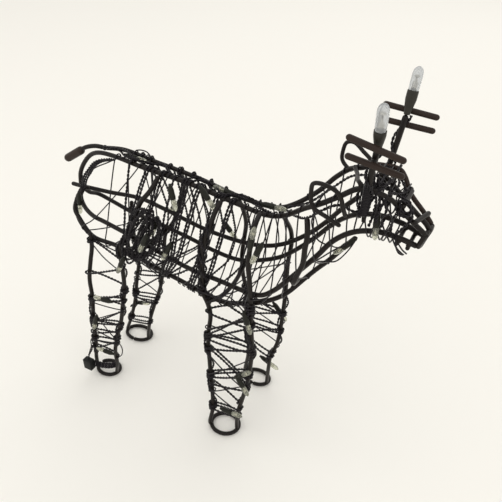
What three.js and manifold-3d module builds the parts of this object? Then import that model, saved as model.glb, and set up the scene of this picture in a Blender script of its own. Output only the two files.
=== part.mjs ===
// Small lighted wire reindeer: a figure bent from spot-welded steel wire and wound with a string of
// miniature lamps. Millimetres, +Z up, the animal faces +X, its left side is +Y, it stands on Z = 0.
import * as THREE from 'three';
import Module from 'manifold-3d';
import { mergeVertices } from 'three/addons/utils/BufferGeometryUtils.js';

const wasm = await Module();
wasm.setup();

// driving dimensions
const LENGTH = 282.8;         // tip of the tail to the nose
const WIDTH = 85.2;           // across the feet and antlers
const HEIGHT = 303.6;         // floor to the tips of the antler lamps
const FRAME_DIA = 3.4;        // long wires of the body, legs and neck
const HEAD_DIA = 3.0;         // wires of the muzzle
const HOOP_DIA = 2.6;         // thin hoops and ears
const ANTLER_DIA = 3.6;       // antler shafts and tines
const TAIL_DIA = 6.4;         // sleeve on the tail
const CORD_DIA = 1.4;         // insulated lead of the light string
const SOCKET_DIA = 6.6;       // lamp socket of the antler lamps
const BULB_DIA = 6.3;         // bulb of the antler lamps
const LAMP_DIA = 4.4;         // sockets of the small lamps along the string
const GAP = 0.35;             // clearance between neighbouring solids

const STEEL = 0x2b2421;
const BROWN = 0x4a3328;
const RUBBER = 0x26222a;
const GLASS = 0xc9c8bf;

// the guide points below are drawn for a figure of these sizes and stretch with them
const DRAWN = [282.8, 85.2, 303.6];
const stretch = [LENGTH / DRAWN[0], WIDTH / DRAWN[1], HEIGHT / DRAWN[2]];
const place3 = (p) => [p[0] * stretch[0], p[1] * stretch[1], p[2] * stretch[2]];
const drawn = (points) => points.map(place3);

const figure = new THREE.Group();
figure.name = 'wire_reindeer';

// a regular section with a flat side down when the wire runs level
function section(dia, sides) {
  const shape = new THREE.Shape();
  for (let i = 0; i < sides; i += 1) {
    const a = Math.PI * (2 * i + 1) / sides;
    const r = dia / 2;
    if (i === 0) shape.moveTo(r * Math.cos(a), r * Math.sin(a));
    else shape.lineTo(r * Math.cos(a), r * Math.sin(a));
  }
  shape.closePath();
  return shape;
}

function curveThrough(points) {
  const list = points.map((p) => new THREE.Vector3(p[0], p[1], p[2]));
  if (list.length === 2) return new THREE.LineCurve3(list[0], list[1]);
  return new THREE.CatmullRomCurve3(list, false, 'centripetal');
}

function closedBody(geometry) {
  const bare = geometry.clone();
  bare.deleteAttribute('normal');
  bare.deleteAttribute('uv');
  const welded = mergeVertices(bare, 1e-4);
  welded.computeVertexNormals();
  return welded;
}

function addSolid(name, geometry, color) {
  const material = new THREE.MeshStandardMaterial({ color, roughness: 0.5 });
  const mesh = new THREE.Mesh(closedBody(geometry), material);
  mesh.name = name;
  figure.add(mesh);
  return mesh;
}

// a round wire bent along a route
function bent(points, dia, sides, step) {
  const curve = curveThrough(points);
  const steps = points.length === 2 ? 1 : Math.max(3, Math.round(curve.getLength() / step));
  return new THREE.ExtrudeGeometry(section(dia, sides), {
    steps,
    bevelEnabled: false,
    extrudePath: curve,
  });
}

function wire(name, points, dia = FRAME_DIA, color = STEEL, step = 10, sides = 6) {
  return addSolid(name, bent(points, dia, sides, step), color);
}

// long wires of the cage
const backRight = drawn([[-10, -4, 188.5], [-8, -4, 199], [-2, -4, 209], [6, -4, 217], [15, -5, 221],
  [30, -6, 222], [54, -6, 219], [93, -5, 215], [132, -5, 209], [154, -7, 208], [166, -9, 212],
  [185, -19, 228], [196, -23, 236], [205, -19, 241], [213, -13, 246]]);
const backLeft = drawn([[14, 4, 221], [30, 6, 222], [54, 6, 219], [93, 5, 215], [132, 5, 208],
  [156, 7, 207], [166, 10, 211], [178, 19, 219], [188, 24, 230], [197, 23, 238], [207, 16, 244]]);
const sideRight = drawn([[-13, -4, 179], [-3, -12, 176], [12, -19, 174], [26, -21, 173], [44, -22, 170],
  [102, -24, 158], [127, -25, 157], [147, -26, 156], [160, -27, 158], [169, -27, 165],
  [181, -27, 180], [196, -25, 200], [204, -17, 210], [214, -12, 216], [227, -10, 219],
  [238, -8, 217.5], [247.5, -7, 215]]);
const sideLeft = drawn([[-13, 4, 181], [3, 12, 177], [26, 21, 173], [47, 22, 169], [87, 23, 160],
  [120, 25, 157], [137, 26, 159], [152, 27, 165], [170, 27, 179], [184, 24, 195],
  [197, 18, 213], [207, 15, 225]]);
const bellyRight = drawn([[-13.5, -7, 177], [-11, -14, 171], [-4, -18, 167], [11, -22, 157], [35, -22, 155],
  [69, -23, 148], [93, -23, 143], [112, -24, 140], [130, -25, 139], [148, -25, 145],
  [160, -24, 150], [172, -16, 155], [182, -5, 165], [188, -1, 172], [197, 0, 183],
  [206, 0, 196], [213, -2, 206]]);
const bellyLeft = drawn([[-14, 6, 174], [-12, 15, 170], [1, 20, 162], [12, 22, 157], [42, 22, 153],
  [71, 23, 147], [94, 23, 142], [115, 24, 140], [133, 25, 145], [149, 25, 153], [160, 25, 162],
  [177, 25, 180], [187, 22, 193], [198, 18, 205], [209, 12, 214], [221, 10, 218],
  [236, 8, 218], [248.5, 6.5, 215]]);
wire('back_wire_right', backRight);
wire('back_wire_left', backLeft);
wire('side_wire_right', sideRight);
wire('side_wire_left', sideLeft);
wire('belly_wire_right', bellyRight);
wire('belly_wire_left', bellyLeft);

// rump, tail and neck
wire('rump_bar', drawn([[-24, 0, 184], [-6, 0, 184]]), FRAME_DIA, STEEL);
wire('tail', drawn([[-25, 0, 205], [-6, 1, 217]]), TAIL_DIA, BROWN, 9, 8);
wire('tail_root', drawn([[-3, 1.5, 219], [5, 3, 221], [11.5, 3.8, 221]]), FRAME_DIA, STEEL);
const neckHoop = drawn([[189, -25.5, 226], [191, -29, 222], [192, -31, 216], [191.5, -32, 209],
  [190.5, -31.6, 197], [187.5, -31.9, 188], [185.2, -31.3, 181], [182, -22, 173.5],
  [180.5, -13, 169.5]]);
wire('neck_hoop_right', neckHoop, FRAME_DIA);
const collar = drawn([[201, 17, 243.5], [206, 8, 243.5], [211, -7, 247.5], [215, -15, 249.6],
  [218, -15, 243], [218.5, -12, 234], [219, -12.5, 224]]);
wire('collar', collar, HOOP_DIA, STEEL, 6);

// leg wires: each runs over the shoulder or haunch and down to the foot
const legWires = {
  front_leg_wire_right_rear: [[121, -9.5, 211], [122, -21, 206], [121, -27, 197], [118, -29.5, 186],
    [116, -29.5, 160], [115, -29, 146], [119, -29, 136], [120, -28, 125], [117, -28, 103],
    [117, -28, 74], [118, -28, 41], [118, -29, 23], [114, -30, 5.4]],
  front_leg_wire_right_front: [[151, -11, 211], [153, -22, 208], [154, -29, 200], [153, -31, 184],
    [154, -31, 168], [154, -30, 150], [154, -29, 128], [154, -28, 104], [150, -27, 70],
    [145, -27, 47], [141, -27, 30], [137, -23, 5.4]],
  front_leg_wire_left_rear: [[122, 9.5, 206], [122, 19, 190], [120, 27, 173], [117, 29.5, 158],
    [115, 29, 140], [116, 29, 122], [119, 29, 107], [119, 28, 87], [121, 28, 60], [121, 28, 39],
    [117, 31, 20], [113, 34, 5.4]],
  front_leg_wire_left_front: [[155, 11, 202], [155, 22, 188], [155.5, 30, 175], [155.5, 32, 164],
    [154, 30.5, 147], [154, 29, 127], [153, 28, 102], [149, 27, 64], [143, 27, 45], [141, 28, 30],
    [137, 34, 5.4]],
  hind_leg_wire_right_rear: [[14, -26.5, 164], [13, -27, 150], [11, -29, 138], [8, -31, 120],
    [7, -31, 101], [2, -30, 75], [-1, -29, 56], [-5, -27, 37], [-10, -25, 20], [-14, -22, 5.4]],
  hind_leg_wire_right_front: [[72, -10, 218], [70, -19, 210], [66, -26, 203], [61, -27.5, 190],
    [55, -28, 178], [46, -27.5, 165], [41, -27, 155], [41, -27, 146], [40, -27, 120],
    [36, -28, 101], [31, -28, 81], [21, -27, 55], [16, -26, 37], [14, -24, 22], [8, -20, 5.4]],
  hind_leg_wire_left_rear: [[12, 26.5, 164], [10, 27, 150], [8, 28, 135], [8, 29, 120],
    [8, 30, 101], [2, 30, 74], [-3, 30, 51], [-11, 30, 26], [-20, 32, 5.4]],
  hind_leg_wire_left_front: [[74, 10, 213], [70, 20, 200], [64, 27, 183], [54, 28, 158],
    [43, 27.5, 140], [40, 27.5, 124], [36, 28, 102], [31, 28, 80], [22, 27, 55], [16, 26, 37],
    [11, 28, 22], [5, 32, 5.4]],
};
Object.keys(legWires).forEach((name) => {
  legWires[name] = drawn(legWires[name]);
  wire(name, legWires[name], FRAME_DIA, STEEL, 11);
});

// level rings on which the feet stand, each with a narrow butt joint or an opening in its side
function footRing(name, cx, cy, rx, ry, start, opening = GAP + 0.65) {
  const points = [];
  const open = opening / Math.max(rx, ry);
  for (let i = 0; i <= 20; i += 1) {
    const a = start + open / 2 + (2 * Math.PI - open) * i / 20;
    const p = place3([cx + rx * Math.cos(a), cy + ry * Math.sin(a), 0]);
    points.push([p[0], p[1], FRAME_DIA / 2 * Math.cos(Math.PI / 6)]);
  }
  wire(name, points, FRAME_DIA, STEEL, 5.5);
}
footRing('front_foot_right', 125.5, -22.5, 12, 10.5, Math.PI / 2);
footRing('front_foot_left', 125, 37, 12, 8.5, -Math.PI / 2);
footRing('hind_foot_right', -4, -18, 11, 8.5, Math.PI * 0.97, 4.5);
footRing('hind_foot_left', -8, 34, 13.5, 9.5, -Math.PI / 2);

// belly halves of the trunk hoops
wire('belly_hoop_front', drawn([[119, 27, 137], [120, 18, 134], [122, 0, 133], [121, -18, 134],
  [118.5, -24.5, 135.5]]), FRAME_DIA);
wire('belly_hoop_rear', drawn([[48, 24, 148.5], [46, 12, 145], [44, -8, 145],
  [43, -22, 149.5]]), FRAME_DIA);

// head
wire('muzzle_wire_left', drawn([[211, 19, 246], [217, 17, 248], [229, 16, 248], [233, 14, 245],
  [238, 11.5, 237], [248, 9, 228], [252.6, 7.1, 224.2]]), HEAD_DIA, BROWN, 5);
wire('muzzle_wire_right', drawn([[221, -17, 249], [230, -15.5, 246], [234, -13.5, 243], [239, -11, 237],
  [245, -9, 231], [251.8, -7.1, 224.7]]), HEAD_DIA, STEEL, 6);
wire('forehead_wire', drawn([[221, 0, 251], [227, 0, 248], [232, 0, 243.5], [240, 0, 236],
  [246.2, 0, 230.7]]), HEAD_DIA, STEEL, 7);
const noseLoop = drawn([[254.6, 0, 222.4], [254.8, 5, 222], [254.2, 7.6, 218.5], [252.4, 4, 214.2],
  [251.6, -4, 213.4], [251.6, -7.4, 216], [253.6, -6, 221.6], [254.5, -0.6, 222.4]]);
wire('nose_loop', noseLoop, HEAD_DIA, STEEL, 4);
wire('brow_bar', drawn([[239.7, 9.8, 240.7], [240.4, -12.8, 240.9]]), HEAD_DIA, STEEL);
wire('nose_bar', drawn([[251.9, 7.5, 229.9], [247.8, -12.4, 232.6]]), HEAD_DIA, STEEL);
wire('jaw_bar_rear', drawn([[239, 10.5, 213.8], [239, -10.5, 213.8]]), HOOP_DIA, STEEL);
wire('jaw_bar_front', drawn([[245.5, 9, 212.2], [245.5, -9.5, 212]]), HOOP_DIA, STEEL);

// open wire loops for ears
const earRight = drawn([[210.8, -29, 228.3], [206.2, -29.5, 230.5], [202, -30, 232.8],
  [197, -30, 234.7], [194, -29.5, 236], [192, -28.5, 239.7], [191.6, -28.5, 245.9],
  [192.7, -29.5, 250.8], [195.9, -30.5, 252.6], [200.8, -31, 252.6], [206.4, -30, 250.1],
  [209.1, -28.5, 245.5], [210.3, -26.5, 238.5], [211.2, -23.5, 232]]);
wire('ear_right', earRight, HOOP_DIA, STEEL, 5.5);
const earLeft = drawn([[192, 28.5, 236], [189, 29, 240], [188.5, 30, 245], [190, 31.5, 251],
  [195, 31.5, 252], [202, 29, 248.5], [208.5, 26.5, 244.5], [211, 24.5, 240]]);
wire('ear_left', earLeft, HOOP_DIA, STEEL, 5.5);

// antlers with their lamps
function antler(side, s, tineHeight) {
  wire('antler_shaft_' + side, drawn([[219.5, s * 17, 231], [221, s * 21, 247], [223, s * 24.5, 262],
    [225, s * 27, 277]]), ANTLER_DIA, STEEL, 9);
  const upper = drawn([[209.5, s * 31.5, tineHeight], [242.3, s * 36.3, tineHeight - 5]]);
  const lower = drawn([[209, s * 29, 271.5], [242, s * 32.6, 267.9]]);
  wire('antler_tine_upper_' + side, upper, ANTLER_DIA, BROWN, 9, 8);
  wire('antler_tine_lower_' + side, lower, ANTLER_DIA, BROWN, 9, 8);
}
antler('right', -1, 283);
antler('left', 1, 279.8);

function lathed(profile, segments) {
  const points = profile.map((p) => new THREE.Vector2(p[0], p[1]));
  return new THREE.LatheGeometry(points, segments);
}
// sets a lathed form with its axis (the lathe's Y) along a direction from a base point
function place(geometry, base, tip) {
  const from = new THREE.Vector3(...base);
  const direction = new THREE.Vector3(...tip).sub(from).normalize();
  const turn = new THREE.Quaternion().setFromUnitVectors(new THREE.Vector3(0, 1, 0), direction);
  const placed = geometry.clone();
  placed.applyQuaternion(turn);
  placed.translate(from.x, from.y, from.z);
  return placed;
}
// the left lamp sits deeper in its socket
['right', 'left'].forEach((side) => {
  const s = side === 'right' ? -1 : 1;
  const socketLength = side === 'right' ? 11.3 : 13.3;
  const socketProfile = [[0, 0], [ANTLER_DIA / 2, 0], [SOCKET_DIA / 2 - 0.7, 4.5], [SOCKET_DIA / 2, 8.5],
    [SOCKET_DIA / 2, socketLength], [0, socketLength]];
  const bulbStart = socketLength + GAP;
  const bulbProfile = [[0, bulbStart], [BULB_DIA / 2, bulbStart], [BULB_DIA / 2, 22.15],
    [BULB_DIA / 2 - 0.5, 24.55], [1.5, 26.15], [0, 26.75]];
  const base = place3([225.2, s * 27.2, 277.6]);
  const tip = place3([227, s * 33, 303.5]);
  addSolid('antler_socket_' + side, place(lathed(socketProfile, 8), base, tip), RUBBER);
  addSolid('antler_bulb_' + side, place(lathed(bulbProfile, 8), base, tip), GLASS);
});

// light string
// position of a long wire at a given x
function along(points, x) {
  const route = curveThrough(points).getPoints(240).map((p) => p.toArray());
  for (let i = 1; i < route.length; i += 1) {
    const a = route[i - 1];
    const b = route[i];
    if ((a[0] - x) * (b[0] - x) <= 0 && a[0] !== b[0]) {
      const t = (x - a[0]) / (b[0] - a[0]);
      return [x, a[1] + t * (b[1] - a[1]), a[2] + t * (b[2] - a[2])];
    }
  }
  throw new Error('no point of the wire at x = ' + x);
}
// position of a leg wire at a given height
function atHeight(points, z) {
  const route = curveThrough(points).getPoints(240).map((p) => p.toArray());
  for (let i = route.length - 1; i > 0; i -= 1) {
    const a = route[i];
    const b = route[i - 1];
    if ((a[2] - z) * (b[2] - z) <= 0 && a[2] !== b[2]) {
      const t = (z - a[2]) / (b[2] - a[2]);
      return [a[0] + t * (b[0] - a[0]), a[1] + t * (b[1] - a[1]), z];
    }
  }
  throw new Error('no point of the leg wire at z = ' + z);
}
function toSolid(geometry) {
  const g = closedBody(geometry);
  return new wasm.Manifold(new wasm.Mesh({
    numProp: 3,
    vertProperties: new Float32Array(g.attributes.position.array),
    triVerts: new Uint32Array(g.index.array),
  }));
}
// several overlapping forms joined into one body
function joined(geometries) {
  let solid = toSolid(geometries[0]);
  for (let i = 1; i < geometries.length; i += 1) solid = solid.add(toSolid(geometries[i]));
  const mesh = solid.getMesh();
  const g = new THREE.BufferGeometry();
  g.setAttribute('position', new THREE.BufferAttribute(new Float32Array(mesh.vertProperties), 3));
  g.setIndex(new THREE.BufferAttribute(new Uint32Array(mesh.triVerts), 1));
  return g;
}
const lampProfile = [[0, 0], [LAMP_DIA / 2, 0.8], [LAMP_DIA / 2, 14.5], [LAMP_DIA / 2 - 0.35, 15],
  [LAMP_DIA / 2 - 0.35, 22], [0.8, 26], [0, 26]];
function lamp(base, tip) {
  return place(lathed(lampProfile, 6), base, tip);
}
// a cord drawn tight from point to point
class Taut extends THREE.Curve {
  constructor(points) {
    super();
    this.stops = points.map((p) => new THREE.Vector3(p[0], p[1], p[2]));
  }

  getPoint(t, target = new THREE.Vector3()) {
    const last = this.stops.length - 1;
    const i = Math.min(Math.floor(t * last + 1e-9), last - 1);
    return target.lerpVectors(this.stops[i], this.stops[i + 1], t * last - i);
  }

  getPointAt(t, target) {
    return this.getPoint(t, target);
  }

  getTangentAt(t, target = new THREE.Vector3()) {
    const last = this.stops.length - 1;
    const i = Math.round(t * last);
    const before = this.stops[Math.max(i - 1, 0)];
    const here = this.stops[i];
    const after = this.stops[Math.min(i + 1, last)];
    const a = here.clone().sub(before).normalize();
    const b = after.clone().sub(here).normalize();
    return target.copy(a).add(b).normalize();
  }
}
function cord(points) {
  return new THREE.ExtrudeGeometry(section(CORD_DIA, 4), {
    steps: points.length - 1,
    bevelEnabled: false,
    extrudePath: new Taut(points),
  });
}
const hug = (FRAME_DIA + CORD_DIA) / 2 + GAP;      // cord axis to wire axis where it passes a wire
const lampHug = (FRAME_DIA + LAMP_DIA) / 2 + GAP;

// winds the cord round the two wires of a leg; lamps lie along some of the outer spans
function woundLeg(name, rear, front, s, drawnHeights, lampSpans) {
  const heights = drawnHeights.map((z) => z * stretch[2]);
  const start = atHeight(rear, heights[0]);
  const route = [[start[0], start[1] + s * (hug + 0.45), heights[0]]];
  const lamps = [];
  for (let i = 0; i + 1 < heights.length; i += 1) {
    const z0 = heights[i];
    const z1 = (heights[i] + heights[i + 1]) / 2;
    const r = atHeight(rear, z0);
    const f = atHeight(front, z1);
    const r2 = atHeight(rear, heights[i + 1]);
    const h = hug + 0.55;
    [90, 30, -30, -90].forEach((deg, k) => {
      const turn = deg * Math.PI / 180;
      route.push([f[0] + h * Math.cos(turn), f[1] + s * h * Math.sin(turn), z1 - 0.5 * k]);
    });
    [-90, -30, 30, 90].forEach((deg, k) => {
      const turn = deg * Math.PI / 180;
      const z = heights[i + 1] + 1.5 - 0.5 * k;
      route.push([r2[0] - h * Math.cos(turn), r2[1] + s * h * Math.sin(turn), z]);
    });
    if (lampSpans.includes(i)) {
      const out = s * (lampHug + 0.2);
      const a = [r[0] + 1, r[1] + out, z0];
      const b = [f[0], f[1] + out, z1];
      lamps.push(i % 2 ? lamp(a, b) : lamp(b, a));
    }
  }
  addSolid(name, joined([cord(route), ...lamps]), RUBBER);
}
woundLeg('string_front_leg_right', legWires.front_leg_wire_right_rear,
  legWires.front_leg_wire_right_front, -1, [124, 106, 88, 70, 48, 34, 22], [1, 3, 5]);
woundLeg('string_front_leg_left', legWires.front_leg_wire_left_rear,
  legWires.front_leg_wire_left_front, 1, [120, 104, 88, 70, 52, 36], [1, 3]);
woundLeg('string_hind_leg_right', legWires.hind_leg_wire_right_rear,
  legWires.hind_leg_wire_right_front, -1, [140, 118, 100, 84, 66, 52, 38, 26], [1, 3, 6]);
woundLeg('string_hind_leg_left', legWires.hind_leg_wire_left_rear,
  legWires.hind_leg_wire_left_front, 1, [122, 104, 88, 72, 56, 40], [1, 4]);

// loops round the trunk, drawn tight over the back, side and belly wires
function trunkLoops(name, drawnTops, drawnBottoms) {
  const tops = drawnTops.map((x) => x * stretch[0]);
  const bottoms = drawnBottoms.map((x) => x * stretch[0]);
  const route = [];
  const crest = (x) => (along(backRight, x)[2] + along(backLeft, x)[2]) / 2;
  const h = hug + 0.5;
  const flank = (x, sideWire, bellyWire, s, down) => {
    const side = along(sideWire, x);
    const low = along(bellyWire, x);
    const points = [[x, side[1] + s * h, side[2]], [x, low[1] + s * h, low[2] + 0.5],
      [x, low[1] + s * h * 0.7, low[2] - h * 0.72], [x, low[1] - s * 0.5, low[2] - h]];
    return down ? points : points.reverse();
  };
  tops.forEach((top, i) => {
    const x = bottoms[i];
    const z = crest(top);
    route.push([top, 0, z + h]);
    route.push([top - 0.6, -6.4, z + h + 0.1]);
    route.push([top - 1.2, -9.4, z + 1.2]);
    flank(x, sideRight, bellyRight, -1, true).forEach((p) => route.push(p));
    flank(x + 2, sideLeft, bellyLeft, 1, false).forEach((p) => route.push(p));
    const next = i + 1 < tops.length ? (top + tops[i + 1]) / 2 + 1.5 : top + 4;
    route.push([next - 1.2, 9.4, crest(next) + 1.2]);
    route.push([next - 0.6, 6.4, crest(next) + h + 0.1]);
  });
  addSolid(name, cord(route), RUBBER);
}
trunkLoops('string_trunk_rear', [80, 88, 96, 104, 112], [58.5, 69, 80, 92, 104]);
trunkLoops('string_trunk_front', [129, 137, 144], [126, 134, 142]);

// the cord between the two back wires, with lamps lying in it
const spine = [20, 50, 80, 110, 140, 158].map((station) => {
  const x = station * stretch[0];
  const z = (along(backRight, x)[2] + along(backLeft, x)[2]) / 2;
  return [x, 0, z - 1.2];
});
const spineLamp = (station) => {
  const x = station * stretch[0];
  const z = (along(backRight, x)[2] + along(backLeft, x)[2]) / 2;
  return lamp([x, 0, z - 1.2], [x + 26, 0, along(backRight, x + 26)[2] - 1.2]);
};
const backString = [bent(spine, CORD_DIA, 4, 30), ...[22, 52, 118].map(spineLamp)];
addSolid('string_back', joined(backString), RUBBER);

// end connector of the light string
const plug = new THREE.BoxGeometry(9, 6, 11);
plug.translate(...place3([-13.5, -32, 15]));
addSolid('string_end_block', plug, RUBBER);

// stand the figure over the origin
const bounds = new THREE.Box3().setFromObject(figure);
const shift = [-(bounds.min.x + bounds.max.x) / 2, -(bounds.min.y + bounds.max.y) / 2, -bounds.min.z];
figure.traverse((part) => {
  if (part.isMesh) part.geometry.translate(shift[0], shift[1], shift[2]);
});

export default figure;
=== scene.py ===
"""Lit wire reindeer: round bent wires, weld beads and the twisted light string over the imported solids."""
import math

import bpy
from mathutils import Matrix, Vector


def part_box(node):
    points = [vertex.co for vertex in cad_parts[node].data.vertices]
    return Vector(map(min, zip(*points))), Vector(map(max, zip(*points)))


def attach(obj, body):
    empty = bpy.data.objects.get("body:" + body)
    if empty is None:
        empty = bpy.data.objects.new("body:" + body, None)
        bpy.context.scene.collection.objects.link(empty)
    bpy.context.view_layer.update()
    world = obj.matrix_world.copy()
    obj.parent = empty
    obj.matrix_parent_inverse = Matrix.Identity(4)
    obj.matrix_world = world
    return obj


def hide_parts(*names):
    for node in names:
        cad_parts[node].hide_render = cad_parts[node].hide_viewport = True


bl_info = {
    "name": "Wire Reindeer",
    "version": (1, 0, 0),
    "blender": (4, 5, 0),
    "location": "View3D > Sidebar > Reindeer",
    "description": "Builds a small lit wire reindeer around its packed solids",
    "category": "Object",
}

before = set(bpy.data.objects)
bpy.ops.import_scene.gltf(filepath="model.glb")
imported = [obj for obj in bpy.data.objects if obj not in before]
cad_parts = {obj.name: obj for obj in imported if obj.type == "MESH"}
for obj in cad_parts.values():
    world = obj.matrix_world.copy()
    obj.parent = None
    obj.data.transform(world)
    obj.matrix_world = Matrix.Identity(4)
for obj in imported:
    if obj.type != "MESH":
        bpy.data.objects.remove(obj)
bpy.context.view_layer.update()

MM = 1000.0     # millimetres in a metre

# Bending drawing, in millimetres: x forward from the hind feet, y to the animal's left, z up.
# The end block is square to the axes, so its middle ties the drawing to the part's frame.
BLOCK_MIDDLE = Vector((-13.5, -32.0, 15.0))
block_low, block_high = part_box("string_end_block")
DATUM = (block_low + block_high) / 2 * MM - BLOCK_MIDDLE


def in_place(p):
    """A point of the bending drawing in the part's frame, in metres."""
    return (Vector(p) + DATUM) / MM


def radius_of(diameter):
    """Half a diameter given in metres, in drawing millimetres."""
    return diameter * MM / 2


# guide points of the wires
BODY_WIRES = {
    "back_wire_right": [
        (-10, -4, 188.5), (-8, -4, 199), (-2, -4, 209), (6, -4, 217), (15, -5, 221), (30, -6, 222),
        (54, -6, 219), (93, -5, 215), (132, -5, 209), (154, -7, 208), (166, -9, 212), (185, -19, 228),
        (196, -23, 236), (205, -19, 241), (213, -14.5, 245.5), (221, -16.8, 248.5)],
    "back_wire_left": [
        (14, 4, 221), (30, 6, 222), (54, 6, 219), (93, 5, 215), (132, 5, 208), (156, 7, 207),
        (166, 10, 211), (178, 19, 219), (188, 24, 230), (197, 23, 238), (207, 17, 244), (211, 18.5, 245.7)],
    "side_wire_right": [
        (-11, -1, 183), (-11, -5, 180), (-3, -12, 176), (12, -19, 174), (26, -21, 173), (44, -22, 170),
        (102, -24, 158), (127, -25, 157), (147, -26, 156), (160, -27, 158), (169, -27, 165),
        (181, -27, 180), (196, -25, 200), (204, -17, 210), (214, -12, 216), (227, -10, 219),
        (238, -8, 217.5), (247.5, -7, 215), (250.9, -6.5, 213.7)],
    "side_wire_left": [
        (-12, 1, 183.5), (-9, 5, 181), (3, 12, 177), (26, 21, 173), (47, 22, 169), (87, 23, 160),
        (120, 25, 157), (137, 26, 159), (152, 27, 165), (170, 27, 179), (184, 24, 195), (197, 18, 213),
        (207, 15, 225)],
    "belly_wire_right": [
        (-13, -1, 183), (-13.5, -7, 177), (-11, -14, 171), (-4, -18, 167), (11, -22, 157), (35, -22, 155),
        (69, -23, 148), (93, -23, 143), (112, -24, 140), (130, -25, 139), (148, -25, 145), (160, -24, 150),
        (172, -16, 155), (182, -5, 165), (188, -1, 172), (197, 0, 183), (206, 0, 196), (213, -2, 206)],
    "belly_wire_left": [
        (-13, 1, 182.5), (-13, 6, 176), (-12, 15, 170), (1, 20, 162), (12, 22, 157), (42, 22, 153),
        (71, 23, 147), (94, 23, 142), (115, 24, 140), (133, 25, 145), (149, 25, 153), (160, 25, 162),
        (177, 25, 180), (187, 22, 193), (198, 18, 205), (209, 12, 214), (221, 10, 218), (236, 8, 218),
        (248.5, 6.5, 215), (251.5, 5, 214.6)],
}
RUMP = {
    "rump_bar": [(-24, 0, 184), (-6, 0, 184)],
    "tail_root": [(-8, 0.8, 216.2), (-3, 1.5, 219), (5, 3, 221), (12.5, 3.9, 221)],
}
TAIL = {"tail": [(-25, 0, 205), (-6, 1, 217)]}
NECK = {
    "neck_hoop_right": [
        (189, -25.5, 226), (191, -29, 222), (192, -31, 216), (191.5, -32, 209), (190.5, -31.6, 197),
        (187.5, -31.9, 188), (185.2, -31.3, 181), (182, -22, 173.5), (180.5, -13, 169.5)],
}
BELLY_HOOPS = {
    "belly_hoop_front": [
        (119, 27, 137), (120, 18, 134), (122, 0, 133), (121, -18, 134), (118.5, -24.5, 135.5)],
    "belly_hoop_rear": [(48, 24, 148.5), (46, 12, 145), (44, -8, 145), (43, -22, 149.5)],
}
COLLAR = {
    "collar": [
        (201, 17, 243.5), (206, 8, 243.5), (211, -7, 247.5), (215, -15, 249.6), (218, -15, 243),
        (218.5, -12, 234), (219, -12.5, 224)],
}
LEG_WIRES = {
    "front_leg_wire_right_rear": [
        (121, -9.5, 211), (122, -21, 206), (121, -27, 197), (118, -29.5, 186), (116, -29.5, 160),
        (115, -29, 146), (119, -29, 136), (120, -28, 125), (117, -28, 103), (117, -28, 74), (118, -28, 41),
        (118, -29, 23), (114, -30, 5.4)],
    "front_leg_wire_right_front": [
        (151, -11, 211), (153, -22, 208), (154, -29, 200), (153, -31, 184), (154, -31, 168),
        (154, -30, 150), (154, -29, 128), (154, -28, 104), (150, -27, 70), (145, -27, 47), (141, -27, 30),
        (137, -23, 5.4)],
    "front_leg_wire_left_rear": [
        (122, 9.5, 206), (122, 19, 190), (120, 27, 173), (117, 29.5, 158), (115, 29, 140), (116, 29, 122),
        (119, 29, 107), (119, 28, 87), (121, 28, 60), (121, 28, 39), (117, 31, 20), (113, 34, 5.4)],
    "front_leg_wire_left_front": [
        (155, 11, 202), (155, 22, 188), (155.5, 30, 175), (155.5, 32, 164), (154, 30.5, 147),
        (154, 29, 127), (153, 28, 102), (149, 27, 64), (143, 27, 45), (141, 28, 30), (137, 34, 5.4)],
    "hind_leg_wire_right_rear": [
        (14, -26.5, 164), (13, -27, 150), (11, -29, 138), (8, -31, 120), (7, -31, 101), (2, -30, 75),
        (-1, -29, 56), (-5, -27, 37), (-10, -25, 20), (-14, -22, 5.4)],
    "hind_leg_wire_right_front": [
        (72, -10, 218), (70, -19, 210), (66, -26, 203), (61, -27.5, 190), (55, -28, 178), (46, -27.5, 165),
        (41, -27, 155), (41, -27, 146), (40, -27, 120), (36, -28, 101), (31, -28, 81), (21, -27, 55),
        (16, -26, 37), (14, -24, 22), (8, -20, 5.4)],
    "hind_leg_wire_left_rear": [
        (12, 26.5, 164), (10, 27, 150), (8, 28, 135), (8, 29, 120), (8, 30, 101), (2, 30, 74), (-3, 30, 51),
        (-11, 30, 26), (-20, 32, 5.4)],
    "hind_leg_wire_left_front": [
        (74, 10, 213), (70, 20, 200), (64, 27, 183), (54, 28, 158), (43, 27.5, 140), (40, 27.5, 124),
        (36, 28, 102), (31, 28, 80), (22, 27, 55), (16, 26, 37), (11, 28, 22), (5, 32, 5.4)],
}
# centre x and y, half length, half width, middle of the joint or opening in degrees, its width there
FOOT_RINGS = {
    "front_foot_right": (125.5, -22.5, 12, 10.5, 90, 0),
    "front_foot_left": (125, 37, 12, 8.5, -90, 0),
    "hind_foot_right": (-4, -18, 11, 8.5, 175, 24),
    "hind_foot_left": (-8, 34, 13.5, 9.5, -90, 0),
}
HEAD = {
    "muzzle_wire_right": [
        (221, -17, 249), (230, -15.5, 246), (234, -13.5, 243), (239, -11, 237), (245, -9, 231),
        (251.8, -7.1, 224.7), (254.1, -6.5, 222.7)],
    "forehead_wire": [
        (221, 0, 251), (227, 0, 248), (232, 0, 243.5), (240, 0, 236), (247, 0, 230), (252, 0, 225.8),
        (254.2, 0, 222.8)],
    "nose_loop": [
        (254.3, 0, 222.4), (254.5, 5, 222), (254, 7.6, 218.5), (252.3, 4, 214.2), (251.5, -4, 213.4),
        (251.5, -7.4, 216), (253.4, -6, 221.6), (254.2, -0.6, 222.4)],
    "brow_bar": [(239, 10.6, 239.6), (239.6, -13, 240)],
    "nose_bar": [(251.3, 8.3, 229), (246.9, -11.6, 231.3)],
}
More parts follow.
